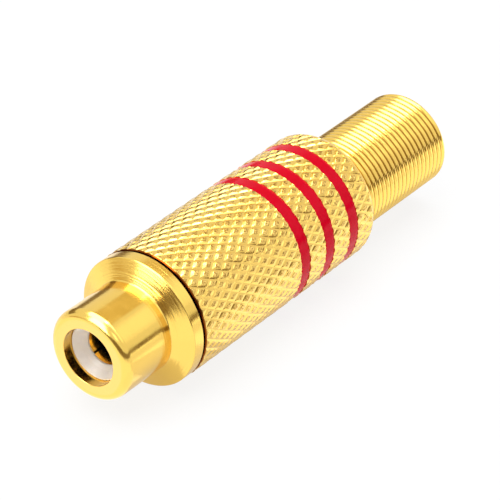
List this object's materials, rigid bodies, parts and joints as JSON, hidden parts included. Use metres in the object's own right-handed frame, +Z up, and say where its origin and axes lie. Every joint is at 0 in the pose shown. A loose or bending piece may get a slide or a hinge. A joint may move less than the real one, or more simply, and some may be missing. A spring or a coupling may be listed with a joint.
{
  "type": "in-line rca socket",
  "caption": "Gold-plated in-line phono socket with a diamond-knurled screw-on sleeve, red enamel bands and a close-wound spring that guards the cable.",
  "frame": {"origin": "centre of the footprint, on the floor under the knurled sleeve that the socket lies on", "axes": "+Y along the axis from the mouth to the cable end, +Z up, +X to the right as seen from the mouth"},
  "size_m": [0.012, 0.045, 0.012],
  "materials": {
    "gold_plate": "turned brass with bright gold plating",
    "gold_contact": "drawn brass tube with gold plating",
    "gold_wire": "spring wire with bright gold plating",
    "red_enamel": "glossy red enamel laid in grooves",
    "insulator": "warm white moulding with a soft sheen",
    "liner": "smooth pale grey tube"
  },
  "bodies": {
    "socket": {"socket_body": "gold_plate", "insulator": "insulator", "centre_contact": "gold_contact", "ground_tag": "gold_plate"},
    "spring guard": {"spring": "gold_wire", "liner": "liner"},
    "sleeve": {"sleeve": "gold_plate", "band_front": "red_enamel", "band_middle": "red_enamel", "band_rear": "red_enamel"}
  },
  "joints": [
    {"name": "sleeve_travel", "type": "slide", "parent": "socket", "child": "spring guard", "axis": [0, 1, 0], "range_m": [0, 0.00525]},
    {"name": "sleeve_turn", "type": "hinge", "parent": "spring guard", "child": "sleeve", "pos_m": [0, 0, 0.006], "axis": [0, 1, 0], "range_deg": [0, 2520]}
  ],
  "couplings": [
    {"joint": "sleeve_turn", "follows": "sleeve_travel", "rad_per_m": 8377.6}
  ]
}
